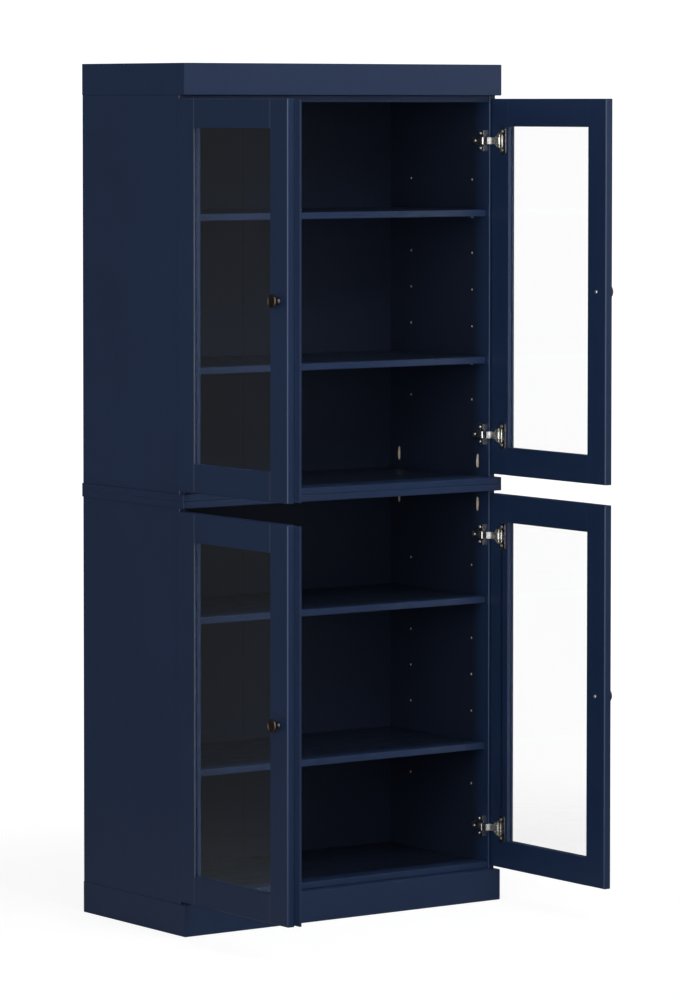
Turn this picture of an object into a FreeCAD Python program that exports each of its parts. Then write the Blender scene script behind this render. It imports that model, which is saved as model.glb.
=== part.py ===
"""Two-part bookcase with four framed glass doors on concealed cup hinges.

Frame: X across the front, Y from front to back, Z up. The origin is on the
floor, under the middle of the plinth's front board. The doors stand fully open.
"""
import FreeCAD, Part
import math
import os
import Sketcher

Vector = FreeCAD.Vector
Rotation = FreeCAD.Rotation

doc = FreeCAD.newDocument("bookcase")
sheet = doc.addObject("Spreadsheet::Sheet", "sizes")


class Size:
    """A number together with the sheet formula that gives it."""

    def __init__(self, number, text):
        self.number = number
        self.text = text

    def __add__(self, other):
        other = as_size(other)
        return Size(self.number + other.number, f"({self.text} + {other.text})")

    def __sub__(self, other):
        other = as_size(other)
        return Size(self.number - other.number, f"({self.text} - {other.text})")

    def __mul__(self, share):
        return Size(self.number * share, f"({self.text} * {share})")

    def __truediv__(self, share):
        return Size(self.number / share, f"({self.text} / {share})")

    def __neg__(self):
        return Size(-self.number, f"(-{self.text})")

    __rmul__ = __mul__


ZERO = Size(0.0, "0")


def as_size(value):
    return value if isinstance(value, Size) else ZERO


DRIVING = {
    # carcass
    "body_width": 852,
    "body_depth": 383,
    "side_height": 856,
    "side_thickness": 16,
    "panel_thickness": 15,
    "panel_setback": 4,
    "back_thickness": 5,
    "back_inset": 3.5,
    "back_groove_depth": 7,
    "back_groove_fit": 0.15,
    # crown, plinth and the two middle boards
    "crown_height": 69,
    "plinth_height": 69,
    "trim_thickness": 25,
    "trim_projection": 21,
    "trim_overhang": 1,
    "crown_top_thickness": 15,
    "rail_thickness": 16,
    "board_thickness": 15,
    "board_overhang": 3,
    "board_edge_easing": 1,
    "trim_edge_easing": 1,
    # shelves and their pins
    "shelf_thickness": 15,
    "shelf_setback": 13,
    "shelf_side_gap": 1,
    "shelf_back_gap": 1.5,
    "shelf_edge_easing": 1,
    "pin_hole_radius": 2.5,
    "pin_hole_depth": 10,
    "pin_hole_pitch": 82.7,
    "pin_hole_first": 171.3,
    "pin_hole_front": 64,
    "pin_hole_column_gap": 230.5,
    "pin_fit": 0.05,
    "pin_end_gap": 0.5,
    "pin_collar_radius": 4.5,
    "pin_collar_thickness": 0.8,
    "pin_spoon_length": 9,
    "pin_spoon_thickness": 1.2,
    "pin_spoon_width": 6,
    # doors
    "door_width": 410,
    "door_end_gap": 7,
    "door_thickness": 19,
    "stile_width": 63,
    "rail_width": 62,
    "door_edge_easing": 2,
    "door_side_clearance": 3,
    "door_front_clearance": 2.5,
    "glass_thickness": 4,
    "glass_lip": 5,
    "glass_groove_depth": 9,
    "glass_fit": 0.2,
    "glass_edge_gap": 0.3,
    "tongue_fit": 0.1,
    # meeting lath on the left doors
    "lath_thickness": 5,
    "lath_lap": 17,
    "lath_reach": 17,
    "lath_end_gap": 2.5,
    "lath_step": 0.5,
    # knobs
    "knob_from_edge": 33.5,
    "knob_radius": 15.75,
    "knob_reach": 24.5,
    "knob_rim_depth": 4,
    "knob_dish_depth": 1.2,
    "knob_back_depth": 7.5,
    "knob_neck_radius": 6.75,
    "knob_foot_radius": 8,
    "knob_foot_thickness": 2,
    "knob_bore_depth": 14,
    "knob_screw_radius": 2,
    "knob_screw_head_radius": 4.2,
    "knob_screw_head_height": 2,
    "knob_screw_grip": 10,
    "screw_fit": 0.1,
    # concealed hinges
    "hinge_from_door_top": 94,
    "hinge_from_door_bottom": 88,
    "cup_from_edge": 32,
    "cup_radius": 17.5,
    "cup_depth": 12,
    "cup_wall": 1,
    "cup_fit": 0.15,
    "flange_thickness": 1.2,
    "flange_half_height": 30,
    "flange_near": 3.5,
    "flange_far": 22.5,
    "flange_corner": 4,
    "flange_bevel": 0.8,
    "flange_screw_rise": 21,
    "flange_screw_offset": 9.5,
    "flange_screw_head_radius": 3.6,
    "flange_screw_head_height": 1.1,
    "flange_screw_radius": 1.5,
    "flange_screw_length": 12,
    "strap_half_height": 7.5,
    "strap_thickness": 1.4,
    "strap_tip_rise": 14.6,
    "strap_tip_run": 28.4,
    "strap_knee_rise": 6.8,
    "strap_knee_run": 26.2,
    "strap_ankle_rise": 3.2,
    "strap_ankle_run": 16,
    "cup_pin_radius": 1,
    "cup_pin_depth": 1.8,
    "cup_pin_near": 4.5,
    "cup_pin_far": 5.5,
    "cup_pin_fit": 0.05,
    "cup_pin_end_gap": 0.2,
    "knuckle_radius": 2.2,
    "arm_half_height": 7.5,
    "arm_thickness": 1.5,
    "arm_rise": 12.5,
    "arm_front": 4,
    "arm_length": 40,
    "arm_cheek_start": 15.5,
    "arm_nose_radius": 2,
    "plate_thickness": 3,
    "plate_front": 14.5,
    "plate_length": 34,
    "plate_half_height": 9,
    "plate_recess": 3,
    "wing_rise": 6,
    "wing_inner": 12,
    "wing_outer": 23,
    "wing_length": 17,
    "wing_screw_setback": 11.5,
    "wing_screw_half_gap": 16.5,
    "wing_screw_head_radius": 3.4,
    "wing_screw_head_height": 1.6,
    "wing_screw_radius": 2.4,
    "wing_screw_length": 12,
    "arm_screw_setback": 31,
    "arm_screw_head_radius": 3.4,
    "arm_screw_head_height": 1.6,
    "arm_screw_radius": 2,
    # slanted screws that join the middle boards to the sides
    "pocket_angle": 15,
    "pocket_radius": 4.75,
    "pocket_rise": 32.65,
    "pocket_depth": 14.15,
    "pocket_mouth": 30,
    "pocket_front": 42.2,
    "pocket_gap": 298,
    "pocket_screw_radius": 1.9,
    "pocket_screw_length": 30,
    "pocket_screw_head_radius": 4,
    "pocket_screw_head_height": 1.8,
}

for row, (alias, value) in enumerate(DRIVING.items(), start=1):
    sheet.set(f"A{row}", alias)
    sheet.set(f"B{row}", str(value))
    sheet.setAlias(f"B{row}", alias)
doc.recompute()


def size(alias):
    return Size(float(sheet.get(alias)), f"sizes.{alias}")


class Sizes:
    """The sheet's cells as attributes."""


s = Sizes()
for alias in DRIVING:
    setattr(s, alias, size(alias))

# Places that several pieces share
side_outer = s.body_width / 2
side_inner = side_outer - s.side_thickness
trim_front = -(s.trim_thickness / 2)
side_front = trim_front + s.trim_projection
body_back = side_front + s.body_depth
trim_outer = side_outer + s.trim_overhang
board_outer = side_outer + s.board_overhang
panel_front = side_front + s.panel_setback
back_front = body_back - s.back_inset - s.back_thickness
trim_inner_front = trim_front + s.trim_thickness
trim_inner_side = trim_outer - s.trim_thickness

lower_side_base = s.plinth_height
lower_side_top = lower_side_base + s.side_height
upper_board_base = lower_side_top + s.board_thickness
upper_side_base = upper_board_base + s.board_thickness
upper_side_top = upper_side_base + s.side_height
case_top = upper_side_top + s.crown_height
level_rise = upper_side_base - lower_side_base
door_height = s.side_height - s.door_end_gap * 2
lower_door_base = lower_side_base + s.door_end_gap
hinge_rises = (s.hinge_from_door_bottom, door_height - s.hinge_from_door_top)

pieces = []

# Small turned pieces and their holes are six-sided, larger ones have more sides
FEW_SIDES = 6
CUP_SIDES = 12
KNOB_SIDES = 12
NOSE_SIDES = 8


def plane(body, role):
    return [f for f in body.Origin.OriginFeatures if f.Role == role][0]


def bind(target, path, value):
    target.setExpression(path, value.text)


def new_body(label):
    body = doc.addObject("PartDesign::Body", label)
    body.Label = label
    return body


def place(target, x=ZERO, y=ZERO, z=ZERO):
    """Put an object at a point that follows the sheet."""
    target.Placement.Base = Vector(x.number, y.number, z.number)
    bind(target, "Placement.Base.x", x)
    bind(target, "Placement.Base.y", y)
    bind(target, "Placement.Base.z", z)
    return target


def polygon(body, name, role, points, height=ZERO):
    """A closed outline on one of the body's planes, each corner bound."""
    return outlines(body, name, role, [points], height)


def outlines(body, name, role, loops, height=ZERO):
    """Closed outlines on one of the body's planes, each corner bound."""
    sketch = body.newObject("Sketcher::SketchObject", name)
    sketch.AttachmentSupport = [(plane(body, role), "")]
    sketch.MapMode = "FlatFace"
    bind(sketch, "AttachmentOffset.Base.z", height)
    first = 0
    for points in loops:
        count = len(points)
        corners = [Vector(a.number, b.number, 0) for a, b in points]
        for index, corner in enumerate(corners):
            sketch.addGeometry(Part.LineSegment(corner, corners[(index + 1) % count]), False)
        for index, (a, b) in enumerate(points):
            following = first + (index + 1) % count
            sketch.addConstraint(Sketcher.Constraint("Coincident", first + index, 2, following, 1))
            bind_point(sketch, first + index, 1, a, b)
        first += count
    return sketch


def bind_point(sketch, geometry, corner, a, b):
    """Hold one point of a sketch at its two distances from the origin."""
    for kind, distance in (("DistanceX", a), ("DistanceY", b)):
        number = sketch.addConstraint(Sketcher.Constraint(kind, -1, 1, geometry, corner, distance.number))
        if distance.text != "0":
            sketch.setExpression(f"Constraints[{number}]", distance.text)


def rings(body, name, role, centres, radius, height=ZERO, sides=FEW_SIDES):
    """Equal many-sided outlines, in place of circles, with their corners on that radius."""
    loops = []
    for a, b in centres:
        loop = []
        for number in range(sides):
            turn = math.pi * (2 * number + 1) / sides
            loop.append((a + radius * math.cos(turn), b + radius * math.sin(turn)))
        loops.append(loop)
    return outlines(body, name, role, loops, height)


def clear_of(radius, sides=FEW_SIDES):
    """The corner radius of a many-sided hole whose flats lie at the given radius."""
    return radius / math.cos(math.pi / sides)


def rectangle(low_a, low_b, high_a, high_b):
    return [(low_a, low_b), (high_a, low_b), (high_a, high_b), (low_a, high_b)]


def pad(body, name, sketch, length, reverse=False):
    feature = body.newObject("PartDesign::Pad", name)
    feature.Profile = sketch
    bind(feature, "Length", length)
    feature.Reversed = reverse
    return feature


def pocket(body, name, sketch, length, reverse=False):
    """A cut of one depth; the volume is checked after the last recompute."""
    feature = body.newObject("PartDesign::Pocket", name)
    feature.Profile = sketch
    bind(feature, "Length", length)
    feature.Reversed = reverse
    cuts.append(feature)
    return feature


cuts = []


def ease_edges(body, name, base, easing, chosen):
    """Take off the edges of a feature whose two ends pass a test."""
    doc.recompute()
    names = []
    for number, edge in enumerate(base.Shape.Edges, start=1):
        if chosen(edge):
            names.append(f"Edge{number}")
    feature = body.newObject("PartDesign::Chamfer", name)
    feature.Base = (base, names)
    bind(feature, "Size", easing)
    return feature


def keep(thing, label=None):
    """Mark an object as one of the pieces that are handed in."""
    if label:
        thing.Label = label
    pieces.append(thing)
    return thing


def mirrored(source, label):
    """The left-hand twin of a right-hand piece."""
    twin = doc.addObject("Part::Mirroring", label)
    twin.Source = source
    twin.Normal = Vector(1, 0, 0)
    twin.Label = label
    return twin


def copy_at(source, label, x=ZERO, y=ZERO, z=ZERO):
    link = doc.addObject("App::Link", label)
    link.LinkedObject = source
    return place(link, x, y, z)


def group(label, members):
    compound = doc.addObject("Part::Compound", label)
    compound.Links = members
    compound.Label = label
    return compound


def along(edge, axis):
    """True for a straight edge that runs along one axis."""
    if len(edge.Vertexes) != 2:
        return False
    step = edge.Vertexes[1].Point - edge.Vertexes[0].Point
    return abs(abs(step.normalize().dot(axis)) - 1) < SAME_DIRECTION


def at(edge, axis, distance):
    """True for an edge whose two ends lie at one distance along an axis."""
    return all(abs(v.Point.dot(axis) - distance) < SAME_PLACE for v in edge.Vertexes)


SAME_DIRECTION = 1e-6
SAME_PLACE = 1e-4
AXIS_X = Vector(1, 0, 0)
AXIS_Y = Vector(0, 1, 0)
AXIS_Z = Vector(0, 0, 1)


def flat_board(label, low_x, high_x, low_y, high_y, base, thickness, easing):
    """A level board with its two long front edges eased."""
    body = new_body(label)
    outline = polygon(body, label + "_outline", "XY_Plane", rectangle(low_x, low_y, high_x, high_y))
    slab = pad(body, label + "_slab", outline, thickness)
    front = low_y.number
    ease_edges(body, label + "_easing", slab, easing,
               lambda edge: along(edge, AXIS_X) and at(edge, AXIS_Y, front))
    place(body, z=base)
    return body


PIN_HOLES = 7
SHELF_ROWS = (1, 5)


# Carcass sides: upright boards with a groove for the back, pin holes and slanted pockets
def pin_rows():
    """Heights of the pin holes above the side's lower clear end."""
    return [s.pin_hole_first + s.pin_hole_pitch * step for step in range(PIN_HOLES)]


def side_board(label, base, clear_base, pocket_end, pocket_sense):
    """The right-hand side of one case; its left twin is a mirror image."""
    body = new_body(label)
    groove_front = back_front - s.back_groove_fit
    groove_back = back_front + s.back_thickness + s.back_groove_fit
    groove_floor = side_inner + s.back_groove_depth
    outline = polygon(body, label + "_section", "XY_Plane", [
        (side_inner, side_front), (side_outer, side_front), (side_outer, body_back),
        (side_inner, body_back), (side_inner, groove_back), (groove_floor, groove_back),
        (groove_floor, groove_front), (side_inner, groove_front)])
    slab = pad(body, label + "_slab", outline, s.side_height)
    inner = side_inner.number
    outer = side_outer.number
    front = side_front.number
    ease_edges(body, label + "_easing", slab, s.board_edge_easing,
               lambda edge: along(edge, AXIS_Z) and at(edge, AXIS_Y, front)
               and (at(edge, AXIS_X, inner) or at(edge, AXIS_X, outer)))
    columns = [side_front + s.pin_hole_front,
               side_front + s.pin_hole_front + s.pin_hole_column_gap]
    first = clear_base - base
    centres = [(column, first + row) for row in pin_rows() for column in columns]
    holes = rings(body, label + "_pin_holes", "YZ_Plane", centres, clear_of(s.pin_hole_radius), side_inner)
    pocket(body, label + "_pin_bores", holes, s.pin_hole_depth, reverse=True)
    screw_y = side_front + s.plate_front + s.wing_screw_setback
    places = [(screw_y, s.door_end_gap + rise + s.wing_screw_half_gap * hand)
              for rise in hinge_rises for hand in (-1, 1)]
    wing_holes = rings(body, label + "_hinge_holes", "YZ_Plane", places,
                       clear_of(s.wing_screw_radius + s.screw_fit), side_inner)
    pocket(body, label + "_hinge_bores", wing_holes, s.wing_screw_length - s.wing_rise + s.screw_fit,
           reverse=True)
    for number, setback in enumerate((s.pocket_front, s.pocket_front + s.pocket_gap)):
        for kind in ("mouth", "screw"):
            drill = body.newObject("PartDesign::SubtractivePrism", f"{label}_{kind}_{number}")
            place_drill(drill, kind, side_front + setback, pocket_end, pocket_sense)
            cuts.append(drill)
    place(body, z=base)
    return body


def place_drill(drill, kind, y, end, sense):
    """Aim one slanted drill: it crosses the inner face at the pocket's rise from the board's end."""
    angle = s.pocket_angle.text
    sign = "+" if sense > 0 else "-"
    if kind == "mouth":
        drill.Polygon = NOSE_SIDES
        bind(drill, "Circumradius", s.pocket_radius)
        length = s.pocket_mouth + s.pocket_depth
        start = -s.pocket_mouth
    else:
        drill.Polygon = FEW_SIDES
        bind(drill, "Circumradius", clear_of(s.pocket_screw_radius + s.screw_fit))
        length = s.pocket_rise * 2
        start = ZERO
    bind(drill, "Height", length)
    centre = f"({end.text} {sign} {s.pocket_rise.text})"
    lead = start.text
    drill.setExpression("Placement.Base.x", f"{side_inner.text} + {lead} * sin({angle} * 1 deg)")
    bind(drill, "Placement.Base.y", y)
    back = "-" if sense > 0 else "+"
    drill.setExpression("Placement.Base.z", f"{centre} {back} {lead} * cos({angle} * 1 deg)")
    turn = 180 - s.pocket_angle.number if sense > 0 else s.pocket_angle.number
    drill.Placement.Rotation = Rotation(AXIS_Y, turn)
    drill.setExpression("Placement.Rotation.Angle", f"180 - {angle}" if sense > 0 else angle)


lower_right = side_board("lower_right_side", lower_side_base,
                         lower_side_base + s.panel_thickness, s.side_height, -1)
upper_right = side_board("upper_right_side", upper_side_base, upper_side_base, ZERO, 1)
keep(lower_right)
keep(upper_right)
keep(mirrored(lower_right, "lower_left_side"))
keep(mirrored(upper_right, "upper_left_side"))


# Boards between and inside the sides
def fixed_panel(label, base):
    """A board between the two sides, held clear of the doors and flush with the back's front."""
    return keep(flat_board(label, -side_inner, side_inner, panel_front, back_front,
                           base, s.panel_thickness, s.shelf_edge_easing))


fixed_panel("lower_bottom_panel", lower_side_base)
fixed_panel("upper_top_panel", upper_side_top - s.panel_thickness)


def middle_board(label, base, sense):
    """One of the two full boards where the cases meet, with bores for the slanted screws."""
    body = flat_board(label, -board_outer, board_outer, trim_front, body_back,
                      base, s.board_thickness, s.board_edge_easing)
    end = s.board_thickness if sense > 0 else ZERO
    for number, setback in enumerate((s.pocket_front, s.pocket_front + s.pocket_gap)):
        for hand in (1, -1):
            drill = body.newObject("PartDesign::SubtractivePrism", f"{label}_bore_{number}")
            place_board_drill(drill, hand, side_front + setback, end, sense)
            cuts.append(drill)
    return keep(body)


def place_board_drill(drill, hand, y, end, sense):
    """The part of a slanted screw's bore that lies in a middle board."""
    angle = s.pocket_angle.text
    drill.Polygon = FEW_SIDES
    bind(drill, "Circumradius", clear_of(s.pocket_screw_radius + s.screw_fit))
    reach = s.pocket_depth + s.pocket_screw_length
    bind(drill, "Height", reach + s.screw_fit)
    side = "" if hand > 0 else "-1 * "
    drill.setExpression("Placement.Base.x", f"{side}{side_inner.text}")
    bind(drill, "Placement.Base.y", y)
    sign = "+" if sense > 0 else "-"
    drill.setExpression("Placement.Base.z", f"{end.text} {sign} {s.pocket_rise.text}")
    turn = 180 - s.pocket_angle.number if sense > 0 else s.pocket_angle.number
    drill.Placement.Rotation = Rotation(Vector(0, hand, 0), turn)
    drill.setExpression("Placement.Rotation.Angle", f"180 - {angle}" if sense > 0 else angle)


middle_board("lower_top_board", lower_side_top, -1)
middle_board("upper_bottom_board", upper_board_base, 1)


# Backs: thin sheets that slide in the sides' grooves
def back_sheet(label, base):
    body = new_body(label)
    edge = side_inner + s.back_groove_depth - s.back_groove_fit
    outline = polygon(body, label + "_outline", "XY_Plane",
                      rectangle(-edge, back_front, edge, back_front + s.back_thickness))
    pad(body, label + "_sheet", outline, s.side_height)
    place(body, z=base)
    return keep(body)


back_sheet("lower_back_panel", lower_side_base)
back_sheet("upper_back_panel", upper_side_base)


# Crown and plinth: mitred frames of thick boards
def front_trim(label, base, height):
    body = new_body(label)
    outline = polygon(body, label + "_outline", "XY_Plane", [
        (-trim_outer, trim_front), (trim_outer, trim_front),
        (trim_inner_side, trim_inner_front), (-trim_inner_side, trim_inner_front)])
    slab = pad(body, label + "_slab", outline, height)
    front = trim_front.number
    ease_edges(body, label + "_easing", slab, s.trim_edge_easing,
               lambda edge: along(edge, AXIS_X) and at(edge, AXIS_Y, front))
    place(body, z=base)
    return keep(body)


def side_trim(label, base, height):
    body = new_body(label)
    outline = polygon(body, label + "_outline", "XY_Plane", [
        (trim_outer, trim_front), (trim_outer, body_back),
        (trim_inner_side, body_back), (trim_inner_side, trim_inner_front)])
    slab = pad(body, label + "_slab", outline, height)
    outer = trim_outer.number
    ease_edges(body, label + "_easing", slab, s.trim_edge_easing,
               lambda edge: along(edge, AXIS_Y) and at(edge, AXIS_X, outer))
    place(body, z=base)
    return keep(body)


front_trim("plinth_front", ZERO, s.plinth_height)
plinth_right = side_trim("plinth_right", ZERO, s.plinth_height)
keep(mirrored(plinth_right, "plinth_left"))
front_trim("crown_front", upper_side_top, s.crown_height)
crown_right = side_trim("crown_right", upper_side_top, s.crown_height)
keep(mirrored(crown_right, "crown_left"))


def back_rail(label, height):
    """A rail that closes a trim frame at the back, between its two sides."""
    body = new_body(label)
    outline = polygon(body, label + "_outline", "XY_Plane",
                      rectangle(-trim_inner_side, body_back - s.rail_thickness, trim_inner_side, body_back))
    pad(body, label + "_slab", outline, height)
    return body


plinth_rail = back_rail("plinth_back_rail", s.plinth_height)
crown_rail = place(back_rail("crown_back_rail", s.crown_height - s.crown_top_thickness), z=upper_side_top)
keep(group("back_rails", [plinth_rail, crown_rail]))

crown_top = new_body("crown_top")
crown_top_outline = polygon(crown_top, "crown_top_outline", "XY_Plane",
                            rectangle(-trim_inner_side, trim_inner_front, trim_inner_side, body_back))
pad(crown_top, "crown_top_slab", crown_top_outline, s.crown_top_thickness)
place(crown_top, z=case_top - s.crown_top_thickness)
keep(crown_top)


# Shelves and the pins that carry them
def pin_height(base, row):
    return base + pin_rows()[row]


shelf_x = side_inner - s.shelf_side_gap
shelf_front = side_front + s.shelf_setback
shelf_back = back_front - s.shelf_back_gap
lower_clear_base = lower_side_base + s.panel_thickness
for level, clear_base in (("lower", lower_clear_base), ("upper", upper_side_base)):
    for place_name, row in zip(("low", "high"), SHELF_ROWS):
        keep(flat_board(f"{level}_shelf_{place_name}", -shelf_x, shelf_x, shelf_front, shelf_back,
                        pin_height(clear_base, row) + s.pin_spoon_thickness / 2,
                        s.shelf_thickness, s.shelf_edge_easing))


def shelf_pin():
    """A right-hand pin: a peg in the side, a collar against it and a flat spoon under the shelf."""
    body = new_body("shelf_pin")
    peg_radius = s.pin_hole_radius - s.pin_fit
    peg_length = s.pin_hole_depth - s.pin_end_gap
    peg = rings(body, "shelf_pin_peg", "YZ_Plane", [(ZERO, ZERO)], peg_radius)
    pad(body, "shelf_pin_peg_pad", peg, peg_length)
    half = s.pin_spoon_thickness / 2
    collar = polygon(body, "shelf_pin_collar", "YZ_Plane",
                     rectangle(-s.pin_collar_radius, -s.pin_collar_radius,
                               s.pin_collar_radius, half))
    pad(body, "shelf_pin_collar_pad", collar, s.pin_collar_thickness, reverse=True)
    spoon = polygon(body, "shelf_pin_spoon", "YZ_Plane",
                    rectangle(-s.pin_spoon_width / 2, -half, s.pin_spoon_width / 2, half))
    pad(body, "shelf_pin_spoon_pad", spoon, s.pin_spoon_length, reverse=True)
    return body


pin = shelf_pin()
right_pins = []
for clear_base in (lower_clear_base, upper_side_base):
    for row in SHELF_ROWS:
        for setback in (s.pin_hole_front, s.pin_hole_front + s.pin_hole_column_gap):
            right_pins.append(copy_at(pin, "pin_copy", side_inner, side_front + setback,
                                      pin_height(clear_base, row)))
right_pin_group = group("right_shelf_pins", right_pins)
keep(group("shelf_pins", [right_pin_group, mirrored(right_pin_group, "left_shelf_pins")]))


def screw_body(label, head_radius, head_height, shank_radius, shank_length, role="YZ_Plane"):
    """A screw whose shank runs up from a plane and whose head stands below it."""
    body = new_body(label)
    shank = rings(body, label + "_shank", role, [(ZERO, ZERO)], shank_radius)
    pad(body, label + "_shank_pad", shank, shank_length)
    head = rings(body, label + "_head", role, [(ZERO, ZERO)], head_radius)
    pad(body, label + "_head_pad", head, head_height, reverse=True)
    return body


# Slanted screws: the head sits on the pocket's floor, the shank reaches into the middle board
screw_master = screw_body("pocket_screw", s.pocket_screw_head_radius, s.pocket_screw_head_height,
                          s.pocket_screw_radius, s.pocket_screw_length, "XY_Plane")
screw_copies = []
for end, sense in ((lower_side_top, -1), (upper_side_base, 1)):
    for setback in (s.pocket_front, s.pocket_front + s.pocket_gap):
        screw = copy_at(screw_master, "pocket_screw_copy")
        angle = s.pocket_angle.text
        sign = "+" if sense > 0 else "-"
        back = "-" if sense > 0 else "+"
        depth = s.pocket_depth.text
        turn = 180 - s.pocket_angle.number if sense > 0 else s.pocket_angle.number
        screw.Placement.Rotation = Rotation(AXIS_Y, turn)
        screw.setExpression("Placement.Base.x", f"{side_inner.text} + {depth} * sin({angle} * 1 deg)")
        bind(screw, "Placement.Base.y", side_front + setback)
        screw.setExpression("Placement.Base.z", f"{end.text} {sign} {s.pocket_rise.text} "
                                                f"{back} {depth} * cos({angle} * 1 deg)")
        screw.setExpression("Placement.Rotation.Angle", f"180 - {angle}" if sense > 0 else angle)
        screw_copies.append(screw)
right_screws = group("right_pocket_screws", screw_copies)
pocket_screws = group("pocket_screws", [right_screws, mirrored(right_screws, "left_pocket_screws")])


# Doors: right-hand doors standing open, hinge edge towards the case
door_inner = side_inner + s.door_side_clearance
door_outer = door_inner + s.door_thickness
door_hinge_edge = side_front - s.door_front_clearance
door_free_edge = door_hinge_edge - s.door_width
groove_outer = door_outer - s.glass_lip
groove_inner = groove_outer - s.glass_thickness - s.glass_fit * 2
hinge_stile_edge = door_hinge_edge - s.stile_width
free_stile_edge = door_free_edge + s.stile_width
cup_y = door_hinge_edge - s.cup_from_edge
knob_y = door_free_edge + s.knob_from_edge
knob_z = door_height / 2


def ease_stile(body, label, slab, outer_edge, end_height):
    """Ease the stile's outside edge and both ends, leaving the edge by the glass square."""
    return ease_edges(body, label + "_easing", slab, s.door_edge_easing,
                      lambda edge: (along(edge, AXIS_Z) and at(edge, AXIS_Y, outer_edge))
                      or (along(edge, AXIS_Y) and faces_out(edge)
                          and (at(edge, AXIS_Z, 0) or at(edge, AXIS_Z, end_height))))


def faces_out(edge):
    """True for an edge on the door's inner or outer face."""
    return at(edge, AXIS_X, door_inner.number) or at(edge, AXIS_X, door_outer.number)


def stile(label, base, edge, outside):
    """An upright of the frame, grooved all along the side by the glass."""
    body = new_body(label)
    sense = 1 if outside.number > edge.number else -1
    floor = edge + s.glass_groove_depth * sense
    section = polygon(body, label + "_section", "XY_Plane", [
        (door_inner, outside), (door_inner, edge), (groove_inner, edge), (groove_inner, floor),
        (groove_outer, floor), (groove_outer, edge), (door_outer, edge), (door_outer, outside)])
    slab = pad(body, label + "_slab", section, door_height)
    ease_stile(body, label, slab, outside.number, door_height.number)
    place(body, z=base)
    return body


def hinge_stile(label, base):
    """The upright at the hinges, bored for both cups and their screws."""
    body = stile(label, base, hinge_stile_edge, door_hinge_edge)
    bore_radius = s.cup_radius + s.cup_fit
    cups = rings(body, label + "_cups", "YZ_Plane",
                 [(cup_y, rise) for rise in hinge_rises], bore_radius, door_inner, CUP_SIDES)
    pocket(body, label + "_cup_bores", cups, s.cup_depth + s.cup_fit, reverse=True)
    places = [(cup_y - s.flange_screw_offset, rise + s.flange_screw_rise * sense)
              for rise in hinge_rises for sense in (-1, 1)]
    screws = rings(body, label + "_screws", "YZ_Plane", places,
                   clear_of(s.flange_screw_radius + s.screw_fit), door_inner)
    pocket(body, label + "_screw_bores", screws, s.flange_screw_length + s.screw_fit, reverse=True)
    return body


def free_stile(label, base):
    """The upright at the knob, bored through for its screw."""
    body = stile(label, base, free_stile_edge, door_free_edge)
    hole = rings(body, label + "_knob", "YZ_Plane", [(knob_y, knob_z)],
                 clear_of(s.knob_screw_radius + s.screw_fit), door_inner)
    pocket(body, label + "_knob_bore", hole, s.door_thickness, reverse=True)
    return body


def rail(label, base, sense):
    """A crosspiece with a tongue at each end and a groove by the glass; sense is 1 at the top."""
    body = new_body(label)
    outside = s.rail_width if sense > 0 else ZERO
    edge = ZERO if sense > 0 else s.rail_width
    floor = edge + s.glass_groove_depth * sense
    section = polygon(body, label + "_section", "XZ_Plane", [
        (door_inner, outside), (door_inner, edge), (groove_inner, edge), (groove_inner, floor),
        (groove_outer, floor), (groove_outer, edge), (door_outer, edge), (door_outer, outside)],
        -hinge_stile_edge)
    slab = pad(body, label + "_slab", section, hinge_stile_edge - free_stile_edge)
    ease_edges(body, label + "_easing", slab, s.door_edge_easing,
               lambda part: along(part, AXIS_Y) and at(part, AXIS_Z, outside.number)
               and faces_out(part))
    tongue_reach = s.glass_groove_depth - s.tongue_fit
    tongue = polygon(body, label + "_tongue", "XZ_Plane",
                     rectangle(groove_inner + s.tongue_fit, floor, groove_outer - s.tongue_fit, outside),
                     -(hinge_stile_edge + tongue_reach))
    pad(body, label + "_tongue_pad", tongue,
        hinge_stile_edge - free_stile_edge + tongue_reach * 2)
    rise = door_height - s.rail_width if sense > 0 else ZERO
    return place(body, z=base + rise)


def pane(label, base):
    body = new_body(label)
    reach = s.glass_groove_depth - s.glass_edge_gap
    outline = polygon(body, label + "_outline", "YZ_Plane",
                      rectangle(free_stile_edge - reach, s.rail_width - reach,
                                hinge_stile_edge + reach, door_height - s.rail_width + reach),
                      groove_inner + s.glass_fit)
    pad(body, label + "_sheet", outline, s.glass_thickness)
    place(body, z=base)
    return body


def knob(label, base):
    """A turned knob: foot on the door, neck, dished disc with a raised rim, bored for its screw."""
    body = new_body(label)
    reach = s.knob_reach
    disc_back = reach - s.knob_back_depth
    rim = s.knob_radius
    for name, start, end, radius in (("foot", ZERO, s.knob_foot_thickness, s.knob_foot_radius),
                                     ("neck", s.knob_foot_thickness, disc_back, s.knob_neck_radius)):
        outline = knob_ring(body, f"{label}_{name}", radius, start)
        pad(body, f"{label}_{name}_pad", outline, end - start)
    outline = knob_ring(body, label + "_disc", rim, disc_back)
    disc = pad(body, label + "_disc_pad", outline, s.knob_back_depth)
    ease_edges(body, label + "_back", disc, s.knob_back_depth - s.knob_rim_depth,
               lambda edge: at(edge, AXIS_X, disc_back.number)
               and all(math.hypot(v.Point.y, v.Point.z) > s.knob_foot_radius.number for v in edge.Vertexes))
    dish = knob_ring(body, label + "_dish", rim - s.knob_dish_depth * 2, reach)
    pocket(body, label + "_dish_cut", dish, s.knob_dish_depth)
    bore = rings(body, label + "_bore", "YZ_Plane", [(ZERO, ZERO)],
                 clear_of(s.knob_screw_radius + s.screw_fit / 2))
    pocket(body, label + "_bore_cut", bore, s.knob_bore_depth, reverse=True)
    return place(body, door_outer, knob_y, base + knob_z)


def knob_ring(body, name, radius, height):
    return rings(body, name, "YZ_Plane", [(ZERO, ZERO)], radius, height, KNOB_SIDES)


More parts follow.
